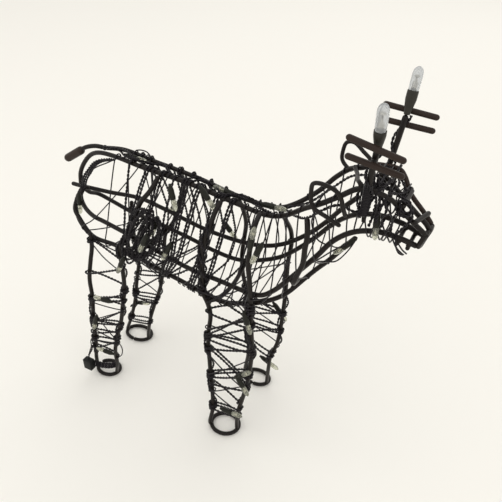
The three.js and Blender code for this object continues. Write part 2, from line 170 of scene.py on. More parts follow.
MUZZLE_LEFT = {
    "muzzle_wire_left": [
        (211, 19, 246), (217, 17, 248), (229, 16, 248), (233, 14, 245), (238, 11.5, 237), (248, 9, 228),
        (252.6, 7.1, 224.2), (254.3, 6.5, 222.1)],
}
JAW_BARS = {
    "jaw_bar_rear": [(239, 10.5, 213.8), (239, -10.5, 213.8)],
    "jaw_bar_front": [(245.5, 9, 212.2), (245.5, -9.5, 212)],
}
EARS = {
    "ear_right": [
        (210.8, -29, 228.3), (206.2, -29.5, 230.5), (202, -30, 232.8), (197, -30, 234.7), (194, -29.5, 236),
        (192, -28.5, 239.7), (191.6, -28.5, 245.9), (192.7, -29.5, 250.8), (195.9, -30.5, 252.6),
        (200.8, -31, 252.6), (206.4, -30, 250.1), (209.1, -28.5, 245.5), (210.3, -26.5, 238.5),
        (211.2, -23.5, 232)],
    "ear_left": [
        (197, 24, 237.5), (193.5, 27, 236.5), (189, 29, 240), (188.5, 30, 245), (190, 31.5, 251),
        (195, 31.5, 252), (202, 29, 248.5), (208.5, 26.5, 244.5), (211, 24.5, 240)],
}
SIDES = {"right": -1, "left": 1}
# antlers: height of the upper tine, foot and tip of the lamp, and how far up the socket covers the bulb
TINE_HEIGHT = {"right": 283, "left": 279.8}
ANTLER_BASE = (225.2, 27.2, 277.6)
ANTLER_TIP = (227, 33, 303.5)
SOCKET_RIM = {"right": 11.3, "left": 13.3}


def antler_shaft(side):
    """Guide points of an antler's upright wire."""
    s = SIDES[side]
    return [(219.5, s * 17, 231), (221, s * 21, 247), (223, s * 24.5, 262), (225, s * 27, 277)]


def antler_tines(side):
    """The two straight bars across an antler, by node."""
    s, top = SIDES[side], TINE_HEIGHT[side]
    return {
        "antler_tine_upper_" + side: [(209.5, s * 31.5, top), (242.3, s * 36.3, top - 5)],
        "antler_tine_lower_" + side: [(209, s * 29, 271.5), (242, s * 32.6, 267.9)],
    }


# sizes and colours
def length(label, words, value):
    """A size that a user may change, in metres."""
    return bpy.props.FloatProperty(name=label, description=words, default=value, min=0.0001,
                                   subtype="DISTANCE", unit="LENGTH")


def colour(label, words, value):
    """A colour that a user may change."""
    return bpy.props.FloatVectorProperty(name=label, description=words, default=value, size=3,
                                         min=0.0, max=1.0, subtype="COLOR")


class ReindeerSizes(bpy.types.PropertyGroup):
    frame_wire: length("Frame wire", "Diameter of the long wires, legs and feet", 0.0034)
    head_wire: length("Head wire", "Diameter of the muzzle wires", 0.0030)
    hoop_wire: length("Hoop wire", "Diameter of the ears, collar and jaw bars", 0.0026)
    antler_wire: length("Antler wire", "Diameter of the antler shafts and tines", 0.0036)
    tail_rod: length("Tail", "Diameter of the tail rod", 0.0064)
    strand: length("Strand", "Diameter of one insulated strand of the string", 0.00098)
    twist: length("Twist", "Length of one turn of the twisted strands", 0.0058)
    weld_bead: length("Weld bead", "Diameter of a spot-weld bead", 0.0034)
    small_socket: length("Small socket", "Diameter of the sockets along the string", 0.0040)
    small_bulb: length("Small bulb", "Diameter of the bulbs along the string", 0.0038)


class ReindeerColours(bpy.types.PropertyGroup):
    dark: colour("Dark paint", "Paint of the frame wires", (0.0055, 0.0044, 0.0040))
    brown: colour("Brown paint", "Paint of the tail, tines and far muzzle wire", (0.019, 0.0115, 0.0085))
    cord: colour("Insulation", "Insulation of the light string", (0.0075, 0.0062, 0.0078))
    socket: colour("Socket", "Moulded lamp sockets", (0.0095, 0.0098, 0.0068))
    glass: colour("Glass", "Small bulbs", (0.74, 0.75, 0.64))
    tip_glass: colour("Tip glass", "Bulbs at the antler tips", (0.70, 0.72, 0.74))
    floor: colour("Floor", "Pale floor", (0.93, 0.912, 0.865))


# materials
def shader(name, base, rough, metal=0.0):
    """A plain finish with its node tree at hand."""
    mat = bpy.data.materials.new(name)
    mat.use_nodes = True
    bsdf = mat.node_tree.nodes["Principled BSDF"]
    bsdf.inputs["Base Color"].default_value = (*base, 1.0)
    bsdf.inputs["Roughness"].default_value = rough
    bsdf.inputs["Metallic"].default_value = metal
    bsdf.inputs["Specular IOR Level"].default_value = 0.2
    return mat, mat.node_tree.nodes, mat.node_tree.links, bsdf


def mottled(name, base, other, rough, spread, scale, bump):
    """A finish whose colour, gloss and surface vary a little from place to place."""
    mat, nodes, links, bsdf = shader(name, base, rough)
    where = nodes.new("ShaderNodeTexCoord")
    patches = nodes.new("ShaderNodeTexNoise")
    patches.inputs["Scale"].default_value = scale
    patches.inputs["Detail"].default_value = 4.0
    tint = nodes.new("ShaderNodeMix")
    tint.data_type = "RGBA"
    tint.inputs["A"].default_value = (*base, 1.0)
    tint.inputs["B"].default_value = (*other, 1.0)
    gloss = nodes.new("ShaderNodeMapRange")
    gloss.inputs["From Min"].default_value = 0.3
    gloss.inputs["From Max"].default_value = 0.7
    gloss.inputs["To Min"].default_value = rough - spread
    gloss.inputs["To Max"].default_value = rough + spread
    fine = nodes.new("ShaderNodeTexNoise")
    fine.inputs["Scale"].default_value = scale * 9.0
    relief = nodes.new("ShaderNodeBump")
    relief.inputs["Strength"].default_value = bump
    relief.inputs["Distance"].default_value = 0.0002
    links.new(where.outputs["Object"], patches.inputs["Vector"])
    links.new(where.outputs["Object"], fine.inputs["Vector"])
    links.new(patches.outputs["Fac"], tint.inputs["Factor"])
    links.new(tint.outputs["Result"], bsdf.inputs["Base Color"])
    links.new(patches.outputs["Fac"], gloss.inputs["Value"])
    links.new(gloss.outputs["Result"], bsdf.inputs["Roughness"])
    links.new(fine.outputs["Fac"], relief.inputs["Height"])
    links.new(relief.outputs["Normal"], bsdf.inputs["Normal"])
    return mat


def bulb_glass(name, base, rough, clear):
    """Thin clear glass; clear is the share of light that passes."""
    mat, _, _, bsdf = shader(name, base, rough)
    bsdf.inputs["Transmission Weight"].default_value = clear
    bsdf.inputs["IOR"].default_value = 1.25
    return mat


def finish_named(name):
    """Finishes are made once, on first use."""
    if name in bpy.data.materials:
        return bpy.data.materials[name]
    tones = bpy.context.scene.reindeer_colours
    if name == "painted_wire":
        base = tuple(tones.dark)
        return mottled(name, base, (base[0] * 2.4, base[1] * 2.1, base[2] * 1.9), 0.38, 0.1, 90.0, 0.25)
    if name == "brown_wire":
        base = tuple(tones.brown)
        return mottled(name, base, tuple(c * 1.7 for c in base), 0.45, 0.1, 110.0, 0.3)
    if name == "cord_insulation":
        base = tuple(tones.cord)
        return mottled(name, base, tuple(c * 2.2 for c in base), 0.36, 0.08, 60.0, 0.05)
    if name == "lamp_socket":
        base = tuple(tones.socket)
        return mottled(name, base, tuple(c * 1.6 for c in base), 0.42, 0.08, 150.0, 0.1)
    if name == "tip_socket":
        base = (0.017, 0.0155, 0.0125)
        return mottled(name, base, tuple(c * 2.4 for c in base), 0.45, 0.08, 150.0, 0.1)
    if name == "black_block":
        return mottled(name, (0.004, 0.004, 0.0042), (0.008, 0.008, 0.008), 0.5, 0.06, 120.0, 0.1)
    if name == "small_bulb_glass":
        return bulb_glass(name, tuple(tones.glass), 0.15, 0.8)
    if name == "tip_bulb_glass":
        return bulb_glass(name, tuple(tones.tip_glass), 0.22, 0.65)
    if name == "bright_lead":
        return shader(name, (0.55, 0.52, 0.45), 0.35, 1.0)[0]
    raise RuntimeError("no finish named " + name)


# curves
def bend(points, spacing):
    """A smooth route through guide points, in drawing millimetres."""
    pts = [Vector(p) for p in points]
    if len(pts) == 2:
        count = max(2, round((pts[1] - pts[0]).length / spacing))
        return [pts[0].lerp(pts[1], i / count) for i in range(count + 1)]
    ends = [pts[0] * 2 - pts[1], *pts, pts[-1] * 2 - pts[-2]]
    route = []
    for i in range(1, len(ends) - 2):
        p0, p1, p2, p3 = ends[i - 1:i + 3]
        d0, d1, d2 = (max((b - a).length, 1e-6) ** 0.5 for a, b in ((p0, p1), (p1, p2), (p2, p3)))
        t1 = ((p1 - p0) / d0 - (p2 - p0) / (d0 + d1) + (p2 - p1) / d1) * d1
        t2 = ((p2 - p1) / d1 - (p3 - p1) / (d1 + d2) + (p3 - p2) / d2) * d1
        count = max(2, round((p2 - p1).length / spacing))
        for k in range(count):
            t = k / count
            cubic = 2 * p1 - 2 * p2 + t1 + t2
            square = 3 * p2 - 3 * p1 - 2 * t1 - t2
            route.append(p1 + t1 * t + square * t * t + cubic * t ** 3)
    route.append(pts[-1])
    return route


def with_round_ends(route, radius):
    """Adds the stations of a rounded end, as (point, share of the full radius)."""
    steps = [(radius * (1 - math.cos(a)), max(math.sin(a), 0.04))
             for a in (math.radians(d) for d in (0, 22, 45, 67, 90))]

    def trimmed(stations):
        """The route without what the rounded end takes up."""
        run = 0.0
        for i in range(1, len(stations)):
            run += (stations[i] - stations[i - 1]).length
            if run > radius * 1.05:
                return stations[i:]
        return stations[-1:]

    head = (route[1] - route[0]).normalized()
    tail = (route[-2] - route[-1]).normalized()
    start = [(route[0] + head * d, w) for d, w in steps]
    finish = [(route[-1] + tail * d, w) for d, w in reversed(steps)]
    inner = trimmed(route)
    inner = trimmed(inner[::-1])[::-1]
    return start + [(p, 1.0) for p in inner] + finish


def new_object(name, verts, edges=(), faces=()):
    """A linked object with a mesh of its own."""
    mesh = bpy.data.meshes.new(name)
    mesh.from_pydata(verts, edges, faces)
    obj = bpy.data.objects.new(name, mesh)
    bpy.context.collection.objects.link(obj)
    return obj


def lines_object(name, routes):
    """Mesh edges along routes of (point, width) stations, in the part's frame."""
    verts, edges, widths = [], [], []
    for stations in routes:
        first = len(verts)
        for point, width in stations:
            verts.append(in_place(point))
            widths.append(width)
        edges += [(i, i + 1) for i in range(first, len(verts) - 1)]
    obj = new_object(name, verts, edges)
    obj.data.attributes.new("width", "FLOAT", "POINT").data.foreach_set("value", widths)
    return obj


# geometry node trees
class Tree:
    """A small helper that builds one node group with named inputs."""

    def __init__(self, name, inputs):
        self.group = bpy.data.node_groups.new(name, "GeometryNodeTree")
        face = self.group.interface
        face.new_socket("Geometry", in_out="INPUT", socket_type="NodeSocketGeometry")
        for label, kind, value in inputs:
            made = face.new_socket(label, in_out="INPUT", socket_type=kind)
            if value is not None:
                made.default_value = value
        face.new_socket("Geometry", in_out="OUTPUT", socket_type="NodeSocketGeometry")
        self.entry = self.group.nodes.new("NodeGroupInput")
        self.exit = self.group.nodes.new("NodeGroupOutput")

    def node(self, kind, **settings):
        made = self.group.nodes.new(kind)
        for key, value in settings.items():
            setattr(made, key, value)
        return made

    def link(self, source, target):
        self.group.links.new(source, target)

    def maths(self, operation, a, b=None):
        made = self.node("ShaderNodeMath", operation=operation)
        for slot, value in enumerate((a, b)):
            if value is None:
                continue
            if isinstance(value, (int, float)):
                made.inputs[slot].default_value = value
            else:
                self.link(value, made.inputs[slot])
        return made.outputs[0]

    def scaled(self, vector, factor):
        made = self.node("ShaderNodeVectorMath", operation="SCALE")
        self.link(vector, made.inputs[0])
        self.link(factor, made.inputs["Scale"])
        return made.outputs[0]

    def vectors(self, operation, a, b):
        made = self.node("ShaderNodeVectorMath", operation=operation)
        self.link(a, made.inputs[0])
        self.link(b, made.inputs[1])
        return made.outputs[0]

    def close(self, geometry):
        smooth = self.node("GeometryNodeSetShadeSmooth")
        real = self.node("GeometryNodeRealizeInstances")
        paint = self.node("GeometryNodeSetMaterial")
        self.link(geometry, smooth.inputs[0])
        self.link(smooth.outputs[0], real.inputs[0])
        self.link(real.outputs[0], paint.inputs["Geometry"])
        self.link(self.entry.outputs["Material"], paint.inputs["Material"])
        self.link(paint.outputs[0], self.exit.inputs[0])
        return self.group


def swept(tree, curve, radius, sides):
    """Sweeps a round section along a curve whose width attribute scales it."""
    width = tree.node("GeometryNodeInputNamedAttribute", data_type="FLOAT")
    width.inputs["Name"].default_value = "width"
    profile = tree.node("GeometryNodeCurvePrimitiveCircle")
    tree.link(sides, profile.inputs["Resolution"])
    tree.link(radius, profile.inputs["Radius"])
    sweep = tree.node("GeometryNodeCurveToMesh")
    sweep.inputs["Fill Caps"].default_value = True
    tree.link(curve, sweep.inputs["Curve"])
    tree.link(width.outputs["Attribute"], sweep.inputs["Scale"])
    tree.link(profile.outputs["Curve"], sweep.inputs["Profile Curve"])
    return sweep.outputs[0]


def wire_tree():
    """One round wire along each line of the mesh."""
    name = "bent_wire"
    if name in bpy.data.node_groups:
        return bpy.data.node_groups[name]
    tree = Tree(name, [("Radius", "NodeSocketFloat", 0.0017), ("Sides", "NodeSocketInt", 16),
                       ("Material", "NodeSocketMaterial", None)])
    curve = tree.node("GeometryNodeMeshToCurve")
    tree.link(tree.entry.outputs["Geometry"], curve.inputs[0])
    body = swept(tree, curve.outputs[0], tree.entry.outputs["Radius"], tree.entry.outputs["Sides"])
    return tree.close(body)


def twisted_tree():
    """Two strands twisted round a route, with a little slack so that no two turns are alike."""
    name = "twisted_pair"
    if name in bpy.data.node_groups:
        return bpy.data.node_groups[name]
    tree = Tree(name, [("Radius", "NodeSocketFloat", 0.0006), ("Sides", "NodeSocketInt", 6),
                       ("Turn", "NodeSocketFloat", 0.012), ("Step", "NodeSocketFloat", 0.0014),
                       ("Slack", "NodeSocketFloat", 0.0004), ("Seed", "NodeSocketFloat", 3.0),
                       ("Material", "NodeSocketMaterial", None)])
    given = tree.entry.outputs
    curve = tree.node("GeometryNodeMeshToCurve")
    even = tree.node("GeometryNodeResampleCurve", mode="LENGTH")
    tree.link(given["Geometry"], curve.inputs[0])
    tree.link(curve.outputs[0], even.inputs["Curve"])
    tree.link(given["Step"], even.inputs["Length"])
    place = tree.node("GeometryNodeInputPosition")
    stray = tree.node("ShaderNodeTexNoise", noise_dimensions="4D")
    stray.inputs["Scale"].default_value = 55.0
    stray.inputs["Detail"].default_value = 1.0
    tree.link(place.outputs[0], stray.inputs["Vector"])
    tree.link(given["Seed"], stray.inputs["W"])
    middle = tree.node("ShaderNodeVectorMath", operation="SUBTRACT")
    tree.link(stray.outputs["Color"], middle.inputs[0])
    middle.inputs[1].default_value = (0.5, 0.5, 0.5)
    drift = tree.node("GeometryNodeSetPosition")
    tree.link(even.outputs[0], drift.inputs["Geometry"])
    tree.link(tree.scaled(middle.outputs[0], tree.maths("MULTIPLY", given["Slack"], 4.0)),
              drift.inputs["Offset"])
    normal = tree.node("GeometryNodeInputNormal").outputs[0]
    tangent = tree.node("GeometryNodeInputTangent").outputs[0]
    across = tree.vectors("CROSS_PRODUCT", tangent, normal)
    reach = tree.node("GeometryNodeSplineParameter").outputs["Length"]
    turns = tree.maths("MULTIPLY", tree.maths("DIVIDE", reach, given["Turn"]), math.tau)
    gather = tree.node("GeometryNodeJoinGeometry")
    for k in range(2):
        angle = tree.maths("ADD", turns, math.pi * k)
        out = tree.maths("MULTIPLY", given["Radius"], tree.maths("COSINE", angle))
        up = tree.maths("MULTIPLY", given["Radius"], tree.maths("SINE", angle))
        offset = tree.vectors("ADD", tree.scaled(normal, out), tree.scaled(across, up))
        strand = tree.node("GeometryNodeSetPosition")
        tree.link(drift.outputs[0], strand.inputs["Geometry"])
        tree.link(offset, strand.inputs["Offset"])
        tree.link(swept(tree, strand.outputs[0], given["Radius"], given["Sides"]), gather.inputs[0])
    return tree.close(gather.outputs[0])


def lamp_tree():
    """Sets a turned lamp part on every point, aimed along the point's own direction."""
    name = "lamp_at_points"
    if name in bpy.data.node_groups:
        return bpy.data.node_groups[name]
    tree = Tree(name, [("Part", "NodeSocketObject", None), ("Material", "NodeSocketMaterial", None)])
    info = tree.node("GeometryNodeObjectInfo")
    tree.link(tree.entry.outputs["Part"], info.inputs["Object"])
    aim = tree.node("GeometryNodeInputNamedAttribute", data_type="FLOAT_VECTOR")
    aim.inputs["Name"].default_value = "aim"
    turn = tree.node("FunctionNodeAlignRotationToVector", axis="Z")
    tree.link(aim.outputs["Attribute"], turn.inputs["Vector"])
    put = tree.node("GeometryNodeInstanceOnPoints")
    tree.link(tree.entry.outputs["Geometry"], put.inputs["Points"])
    tree.link(info.outputs["Geometry"], put.inputs["Instance"])
    tree.link(turn.outputs[0], put.inputs["Rotation"])
    return tree.close(put.outputs[0])


def bead_tree():
    """A small flattened bead of weld at every point."""
    name = "weld_beads"
    if name in bpy.data.node_groups:
        return bpy.data.node_groups[name]
    tree = Tree(name, [("Radius", "NodeSocketFloat", 0.0017), ("Seed", "NodeSocketInt", 5),
                       ("Material", "NodeSocketMaterial", None)])
    ball = tree.node("GeometryNodeMeshIcoSphere")
    ball.inputs["Subdivisions"].default_value = 3
    tree.link(tree.entry.outputs["Radius"], ball.inputs["Radius"])
    size = tree.node("FunctionNodeRandomValue", data_type="FLOAT_VECTOR")
    size.inputs[0].default_value = (0.75, 0.75, 0.75)
    size.inputs[1].default_value = (1.25, 1.25, 1.25)
    tree.link(tree.entry.outputs["Seed"], size.inputs["Seed"])
    put = tree.node("GeometryNodeInstanceOnPoints")
    tree.link(tree.entry.outputs["Geometry"], put.inputs["Points"])
    tree.link(ball.outputs["Mesh"], put.inputs["Instance"])
    tree.link(size.outputs[0], put.inputs["Scale"])
    return tree.close(put.outputs[0])


def grown(obj, group, values, name):
    """Runs a node group on a helper object and keeps the result as a plain mesh."""
    modifier = obj.modifiers.new(group.name, "NODES")
    modifier.node_group = group
    for item in group.interface.items_tree:
        if item.item_type == "SOCKET" and item.in_out == "INPUT" and item.name in values:
            modifier[item.identifier] = values[item.name]
    bpy.context.view_layer.update()
    graph = bpy.context.evaluated_depsgraph_get()
    mesh = bpy.data.meshes.new_from_object(obj.evaluated_get(graph), depsgraph=graph)
    if not mesh.polygons:
        raise RuntimeError(name + " came out empty")
    obj.modifiers.remove(modifier)
    bpy.data.objects.remove(obj)
    mesh.name = name
    made = bpy.data.objects.new(name, mesh)
    bpy.context.collection.objects.link(made)
    return made


def settle(obj, slot, *nodes):
    """Makes an object a piece of the one body, in place of the nodes that it finishes."""
    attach(obj, "root")
    if nodes:
        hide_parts(*nodes)
    return obj


def wires(name, routes, diameter, finish, slot, nodes=(), sides=16, spacing=2.0):
    """One piece from several bent wires of one gauge."""
    radius = radius_of(diameter)
    stations = [with_round_ends(bend(points, spacing), radius) for points in routes]
    helper = lines_object(name + "_route", stations)
    made = grown(helper, wire_tree(), {"Radius": diameter / 2, "Sides": sides,
                                       "Material": finish_named(finish)}, name)
    return settle(made, slot, *nodes)


def twisted(name, routes, nodes=(), seed=3.0, slack=0.0004):
    """One piece of the light string: strands twisted round the given routes."""
    sizes = bpy.context.scene.reindeer_sizes
    stations = [[(p, 1.0) for p in bend(points, 1.5)] for points in routes]
    helper = lines_object(name + "_route", stations)
    values = {"Radius": sizes.strand / 2, "Sides": 5, "Turn": sizes.twist, "Step": 0.0007,
              "Slack": slack, "Seed": seed, "Material": finish_named("cord_insulation")}
    return settle(grown(helper, twisted_tree(), values, name), "cord_black", *nodes)


def single(name, routes):
    """Single strands of the light string along the given routes."""
    strand = bpy.context.scene.reindeer_sizes.strand
    return wires(name, routes, strand, "cord_insulation", "cord_black", sides=6, spacing=1.2)


def side_by_side(points, count, pitch):
    """Copies of a route laid beside each other along x."""
    return [[Vector(p) + Vector((pitch * (k - (count - 1) / 2), 0, 0)) for p in points]
            for k in range(count)]


# places on the wires
def on_wire(points, axis, value, last=False):
    """The point where a wire reaches a value on an axis (0 for x, 2 for z)."""
    route = bend(points, 1.0)
    if last:
        route = route[::-1]
    for a, b in zip(route, route[1:]):
        if (a[axis] - value) * (b[axis] - value) <= 0 and a[axis] != b[axis]:
            return a.lerp(b, (value - a[axis]) / (b[axis] - a[axis]))
    raise RuntimeError("the wire never reaches " + str(value))


EASE = 0.1      # between a wire's surface and the strands wound round it


def hug():
    """Distance from a frame wire's axis to the string's axis where the string passes it."""
    sizes = bpy.context.scene.reindeer_sizes
    return radius_of(sizes.frame_wire) + sizes.strand * MM + EASE


# the string round a leg wire, in degrees: where it comes on, its stations, and where it leaves after half a
# turn or after a knot of one turn more
PASS_START = 80
PASS_STEP = -60
PASS_END = -100
KNOT_END = -460


def leg_winding(leg, turns, outside=True, lift=0.0):
    """Winds the string round a leg's two wires. turns: (wire, height) of each crossing, in order."""
    rear, front = LEG_WIRES[leg + "_rear"], LEG_WIRES[leg + "_front"]
    s = SIDES[leg.rsplit("_", 1)[1]]
    route = []
    face = 1 if outside else -1
    reach = hug()
    for index, (wire, height) in enumerate(turns):
        points, u = (rear, -1) if wire == "r" else (front, 1)
        p = on_wire(points, 2, height + lift, last=True)
        last = PASS_END if index % 3 else KNOT_END
        for k, degrees in enumerate(range(PASS_START, last, PASS_STEP)):
            a = math.radians(degrees)
            rise = 1.2 - k * 0.4
            route.append(p + Vector((u * reach * math.cos(a), face * s * reach * math.sin(a), rise)))
        face = -face
    return route


def laid_along(leg, wire, low, high, seed, swing=0.75):
    """A run of string that follows a leg wire, drifting round it."""
    points = LEG_WIRES[leg + "_" + wire]
    reach, count = hug(), int((high - low) / 3)
    route = []
    for i in range(count + 1):
        p = on_wire(points, 2, high + (low - high) * i / count, last=True)
        a = seed + 0.6 * swing * i
        route.append(p + Vector((reach * math.cos(a), reach * math.sin(a), 0)))
    return route


def wound(points, low, high, radius, pitch):
    """A close winding round a wire between two heights, with a station every so many degrees."""
    step = 50
    p, q = on_wire(points, 2, low, last=True), on_wire(points, 2, high, last=True)
    count = int(abs(high - low) / pitch * 360 / step)
    route = []
    for i in range(count + 1):
        a = math.radians(i * step)
        route.append(p.lerp(q, i / count) + Vector((radius * math.cos(a), radius * math.sin(a), 0)))
    return route


def trunk_loop(top, side, low, far_low, far_side, far_top):
    """One turn round the trunk: over the back, down the right flank, under the belly and up again."""
    reach = hug()
    contacts = [
        ("back_wire_right", top + 0.5, 0.94, -0.3), ("back_wire_right", top + 0.3, 0.62, 0.78),
        ("back_wire_right", top, -0.35, 0.94), ("back_wire_right", top - 0.5, -0.94, 0.2),
        ("side_wire_right", side, -1.0, 0.1), ("belly_wire_right", low, -1.0, 0.1),
        ("belly_wire_right", low + 0.5, -0.3, -0.95), ("belly_wire_left", far_low, 0.3, -0.95),
        ("belly_wire_left", far_low, 1.0, 0.1), ("side_wire_left", far_side, 1.0, 0.1),
        ("back_wire_left", far_top, 0.94, 0.2), ("back_wire_left", far_top + 0.5, 0.35, 0.94),
        ("back_wire_left", far_top + 0.7, -0.62, 0.78), ("back_wire_left", far_top + 1, -0.94, -0.3),
    ]
    return [on_wire(BODY_WIRES[wire], 0, x) + Vector((0, outward * reach, lift * reach))
            for wire, x, outward, lift in contacts]


def flank_run(*turn):
    """The part of a turn round the trunk that lies on the right flank, from the back to the belly."""
    return trunk_loop(*turn)[:7]


# turned forms
def turned(name, profile, segments, base=(0, 0, 0), aim=(0, 0, 1)):
    """A solid of revolution from (radius, height) stations in millimetres, closed on its axis."""
    axis = Vector(aim).normalized()
    turn = axis.to_track_quat("Z", "Y")
    verts, faces = [], []
    rings = []
    for radius, height in profile:
        if radius < 1e-6:
            rings.append([len(verts)])
            verts.append(Vector((0, 0, height)))
            continue
        rings.append(list(range(len(verts), len(verts) + segments)))
        for i in range(segments):
            a = math.tau * i / segments
            verts.append(Vector((radius * math.cos(a), radius * math.sin(a), height)))
    for lower, upper in zip(rings, rings[1:]):
        for i in range(segments):
            j = (i + 1) % segments
            if len(lower) == 1:
                faces.append((lower[0], upper[j], upper[i]))
            elif len(upper) == 1:
                faces.append((lower[i], lower[j], upper[0]))
            else:
                faces.append((lower[i], lower[j], upper[j], upper[i]))
    placed = [(turn @ v) / MM + Vector(base) for v in verts]
    obj = new_object(name, placed, faces=faces)
    obj.data.polygons.foreach_set("use_smooth", [True] * len(faces))
    return obj


def merged(name, objects):
    """Joins objects into the first one and names it."""
    with bpy.context.temp_override(active_object=objects[0], selected_editable_objects=objects,
                                   selected_objects=objects, object=objects[0]):
        bpy.ops.object.join()
    objects[0].name = name
    objects[0].data.name = name
    return objects[0]


# lamps along the string: a point on the socket and one on the bulb, either side of the lamp's middle
SMALL_LAMPS = [
    ((-6, -12, 183), (-8, -12, 169)), ((90, -22, 218), (92, -22, 205)), ((110, -14, 218), (117, -14, 208)),
    ((163, -31, 203), (155, -31, 185)), ((154, -31, 196), (157, -31, 211)), ((37, 1, 221), (51, 1, 220)),
    ((124, 2, 211), (112, 2, 213)), ((148, 3, 209), (160, 3, 209)),
    ((214, -5, 207), (200, -5, 191)), ((226.8, -14, 234), (227.3, -14, 217)),
    ((81, -26, 198), (71, -26, 175)), ((76, -34, 186), (66, -34.5, 166)), ((90, -26, 179), (79, -26, 158)),
    ((51, -33, 158), (40, -33, 137)), ((31, -34, 107), (12, -34, 105)), ((12, -34, 87), (3, -34, 64)),
    ((20, -31, 41), (-2, -31, 40)), ((151, -33, 142), (155, -33, 128)), ((141, -32, 74), (155, -32, 87)),
    ((127, -33, 33), (149, -33, 34)), ((145, -33, 76), (152, -33, 64)), ((143, 32, 100), (153, 32, 88)),
    ((132, 32, 35), (147, 32, 28)), ((-10, 33, 42), (14, 33, 49)), ((100, 25, 172), (112, 28, 154)),
    ((60, 26, 176), (48, 28, 162)),
]
LAMP_LENGTH = 20.4


def lamp_points(name):
    """Points along the string with the direction that each lamp takes."""
    verts, aims = [], []
    for start, end in SMALL_LAMPS:
        a, b = Vector(start), Vector(end)
        aim = (b - a).normalized()
        verts.append(in_place((a + b) / 2 - aim * LAMP_LENGTH / 2))
        aims += list(aim)
    obj = new_object(name, verts)
    obj.data.attributes.new("aim", "FLOAT_VECTOR", "POINT").data.foreach_set("vector", aims)
    return obj


# operators: the frame
class BuildLongWires(bpy.types.Operator):
    """Six long wires of the body, neck and jaw"""
    bl_idname = "reindeer.long_wires"
    bl_label = "Long wires"

    def execute(self, context):
        sizes = context.scene.reindeer_sizes
        wires("long_wires", BODY_WIRES.values(), sizes.frame_wire, "painted_wire", "wire_dark", BODY_WIRES)
        return {"FINISHED"}


class BuildRump(bpy.types.Operator):
    """Rump bar, tail root and the thick tail rod"""
    bl_idname = "reindeer.rump"
    bl_label = "Rump and tail"

    def execute(self, context):
        sizes = context.scene.reindeer_sizes
        wires("rump_bars", RUMP.values(), sizes.frame_wire, "painted_wire", "wire_dark", RUMP)
        wires("tail_rod", TAIL.values(), sizes.tail_rod, "brown_wire", "wire_brown", TAIL, sides=24,
              spacing=1.0)
        return {"FINISHED"}


def ring_point(cx, cy, rx, ry, angle, height):
    """A point on an oval foot ring."""
    return Vector((cx + rx * math.cos(angle), cy + ry * math.sin(angle), height))


class BuildLegs(bpy.types.Operator):
    """Leg wires that run over the shoulders and haunches, and the rings they stand on"""
    bl_idname = "reindeer.legs"
    bl_label = "Legs and feet"

    def execute(self, context):
        sizes = context.scene.reindeer_sizes
        radius = radius_of(sizes.frame_wire)
        routes = []
        for name, points in LEG_WIRES.items():
            foot = "_foot_".join(name.split("_leg_wire_")).rsplit("_", 1)[0]
            cx, cy, rx, ry, _, _ = FOOT_RINGS[foot]
            end = Vector(points[-1])
            angle = math.atan2((end.y - cy) / ry, (end.x - cx) / rx)
            routes.append(points[:-1] + [end.lerp(ring_point(cx, cy, rx, ry, angle, radius + 2.2), 0.5),
                                         ring_point(cx, cy, rx, ry, angle, radius + 0.3)])
        wires("leg_wires", routes, sizes.frame_wire, "painted_wire", "wire_dark", LEG_WIRES)
        rings = []
        for cx, cy, rx, ry, middle, opening in FOOT_RINGS.values():
            start, reach = math.radians(middle + opening / 2), math.radians(360 - opening)
            rings.append([ring_point(cx, cy, rx, ry, start + reach * i / 24, radius) for i in range(25)])
        wires("foot_rings", rings, sizes.frame_wire, "painted_wire", "wire_dark", FOOT_RINGS, spacing=1.5)
        return {"FINISHED"}


class BuildHoops(bpy.types.Operator):
    """Belly hoops, the neck hoop and the thin collar"""
    bl_idname = "reindeer.hoops"
    bl_label = "Hoops"

    def execute(self, context):
        sizes = context.scene.reindeer_sizes
        hoops = {**NECK, **BELLY_HOOPS}
        wires("hoops", hoops.values(), sizes.frame_wire, "painted_wire", "wire_dark", hoops)
        wires("collar_wire", COLLAR.values(), sizes.hoop_wire, "painted_wire", "wire_dark", COLLAR)
        return {"FINISHED"}


class BuildHead(bpy.types.Operator):
    """Muzzle wires, nose loop, brow, nose and jaw bars, and the open ears"""
    bl_idname = "reindeer.head"
    bl_label = "Head"

    def execute(self, context):
        sizes = context.scene.reindeer_sizes
        wires("head_wires", HEAD.values(), sizes.head_wire, "painted_wire", "wire_dark", HEAD, spacing=1.4)
        wires("far_muzzle_wire", MUZZLE_LEFT.values(), sizes.head_wire, "brown_wire", "wire_brown",
              MUZZLE_LEFT, spacing=1.4)
        thin = {**JAW_BARS, **EARS}
        wires("ears_and_jaw_bars", thin.values(), sizes.hoop_wire, "painted_wire", "wire_dark", thin,
              spacing=1.4)
        return {"FINISHED"}


class BuildAntlers(bpy.types.Operator):
    """Antler shafts and their two tines a side"""
    bl_idname = "reindeer.antlers"
    bl_label = "Antlers"

    def execute(self, context):
        sizes = context.scene.reindeer_sizes
        shafts = {"antler_shaft_" + side: antler_shaft(side) for side in SIDES}
        tines = {**antler_tines("right"), **antler_tines("left")}
        wires("antler_shafts", shafts.values(), sizes.antler_wire, "painted_wire", "wire_dark", shafts)
        wires("antler_tines", tines.values(), sizes.antler_wire, "brown_wire", "wire_brown", tines,
              sides=20, spacing=1.0)
        return {"FINISHED"}


WELD_REACH = 5.0        # wires whose axes pass closer than this are welded
WELD_SPACING = 2.5      # nearest that two beads lie


